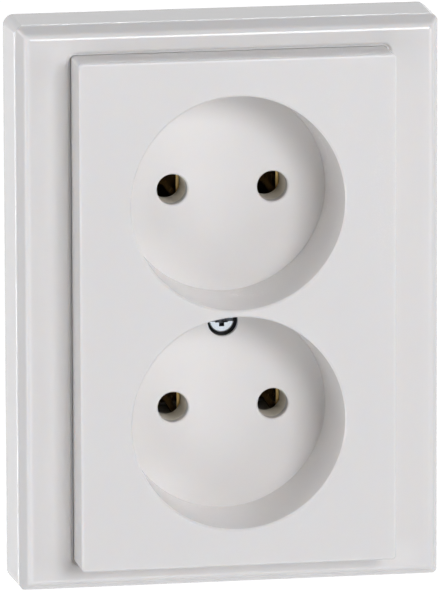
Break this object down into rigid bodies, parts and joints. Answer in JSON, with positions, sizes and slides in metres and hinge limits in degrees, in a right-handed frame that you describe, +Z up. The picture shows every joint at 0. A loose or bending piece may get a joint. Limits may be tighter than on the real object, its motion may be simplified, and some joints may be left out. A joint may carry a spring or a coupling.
{
  "type": "double wall socket",
  "caption": "Flush wall socket with stacked round plug cups without earth in a raised plate, a bevelled surround frame, and a steel support plate with spreading claws.",
  "frame": {"origin": "centre of the support plate's back face, on the wall's surface, midway between the two plug cups", "axes": "+Z up the wall, +X to the right seen from the front, +Y into the wall, so the plug cups face -Y"},
  "size_m": [0.0804, 0.0444, 0.1076],
  "materials": {
    "white_frame": "satin gloss white moulding",
    "white_plate": "satin gloss white moulding",
    "base_moulding": "matt grey moulding",
    "cover_moulding": "matt ivory moulding",
    "zinc_sheet": "zinc-plated sheet",
    "zinc_fastener": "zinc-plated screws, nut, pins and rivets",
    "black_rubber": "black rubber washer",
    "brass_strip": "bare brass strip"
  },
  "bodies": {
    "socket": {"surround_frame": "white_frame", "centre_plate": "white_plate", "cover_screw": "zinc_fastener", "cover_screw_washer": "black_rubber", "cover_screw_nut": "zinc_fastener", "support_plate": "zinc_sheet", "insert_base": "base_moulding", "contact_cover": "cover_moulding", "left_contact_rail": "brass_strip", "right_contact_rail": "brass_strip", "left_claw_pin": "zinc_fastener", "right_claw_pin": "zinc_fastener", "upper_base_rivet": "zinc_fastener", "lower_base_rivet": "zinc_fastener"},
    "left_upper_terminal": {"left_upper_terminal_screw": "zinc_fastener", "left_upper_terminal_clamp": "zinc_sheet"},
    "left_lower_terminal": {"left_lower_terminal_screw": "zinc_fastener", "left_lower_terminal_clamp": "zinc_sheet"},
    "right_upper_terminal": {"right_upper_terminal_screw": "zinc_fastener", "right_upper_terminal_clamp": "zinc_sheet"},
    "right_lower_terminal": {"right_lower_terminal_screw": "zinc_fastener", "right_lower_terminal_clamp": "zinc_sheet"},
    "left_claw": {"left_claw": "zinc_sheet"},
    "left_claw_screw": {"left_claw_screw": "zinc_fastener"},
    "right_claw": {"right_claw": "zinc_sheet"},
    "right_claw_screw": {"right_claw_screw": "zinc_fastener"}
  },
  "joints": [
    {"name": "left_upper_terminal_travel", "type": "slide", "parent": "socket", "child": "left_upper_terminal", "axis": [0, -1, 0], "range_m": [0, 0.0024]},
    {"name": "left_lower_terminal_travel", "type": "slide", "parent": "socket", "child": "left_lower_terminal", "axis": [0, -1, 0], "range_m": [0, 0.0024]},
    {"name": "right_upper_terminal_travel", "type": "slide", "parent": "socket", "child": "right_upper_terminal", "axis": [0, -1, 0], "range_m": [0, 0.0024]},
    {"name": "right_lower_terminal_travel", "type": "slide", "parent": "socket", "child": "right_lower_terminal", "axis": [0, -1, 0], "range_m": [0, 0.0024]},
    {"name": "left_claw_screw_travel", "type": "slide", "parent": "socket", "child": "left_claw_screw", "axis": [0, 1, 0], "range_m": [0, 0.00214]},
    {"name": "left_claw_swing", "type": "hinge", "parent": "socket", "child": "left_claw", "pos_m": [-0.0246, 0.0042, 0], "axis": [0, 0, 1], "range_deg": [0, 25]},
    {"name": "right_claw_screw_travel", "type": "slide", "parent": "socket", "child": "right_claw_screw", "axis": [0, 1, 0], "range_m": [0, 0.00214]},
    {"name": "right_claw_swing", "type": "hinge", "parent": "socket", "child": "right_claw", "pos_m": [0.0246, 0.0042, 0], "axis": [0, 0, -1], "range_deg": [0, 25]}
  ],
  "couplings": [
    {"joint": "left_claw_swing", "follows": "left_claw_screw_travel", "rad_per_m": 203.8},
    {"joint": "right_claw_swing", "follows": "right_claw_screw_travel", "rad_per_m": 203.8}
  ]
}
